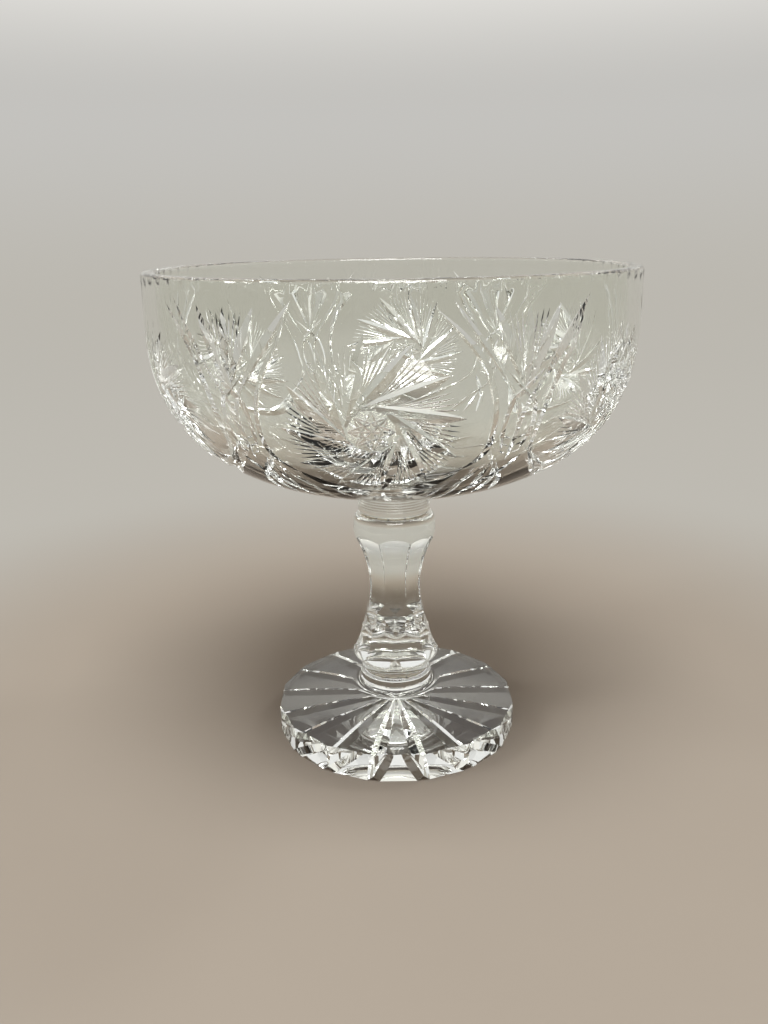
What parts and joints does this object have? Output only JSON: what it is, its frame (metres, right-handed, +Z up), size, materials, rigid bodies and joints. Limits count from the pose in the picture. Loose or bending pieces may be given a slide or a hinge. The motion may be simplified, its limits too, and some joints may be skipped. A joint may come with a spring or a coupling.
{
  "type": "compote dish",
  "caption": "Footed cut-crystal serving dish: a deep round bowl on a collared, fluted stem and a wide star-cut foot, for fruit or sweets.",
  "frame": {"origin": "on the axis of the dish, on the plane of the foot's underside", "axes": "+Z up along the axis of the dish; -Y towards the front, where one flute of the stem faces"},
  "size_m": [0.2054, 0.2054, 0.2128],
  "materials": {
    "crystal": "clear lead crystal, wheel-cut and polished",
    "bond": "clear cured adhesive film"
  },
  "bodies": {
    "root": {"bowl": "crystal", "bowl_collar": "crystal", "upper_bond_film": "bond", "stem": "crystal", "lower_bond_film": "bond", "foot_collar": "crystal", "foot": "crystal"}
  },
  "joints": []
}
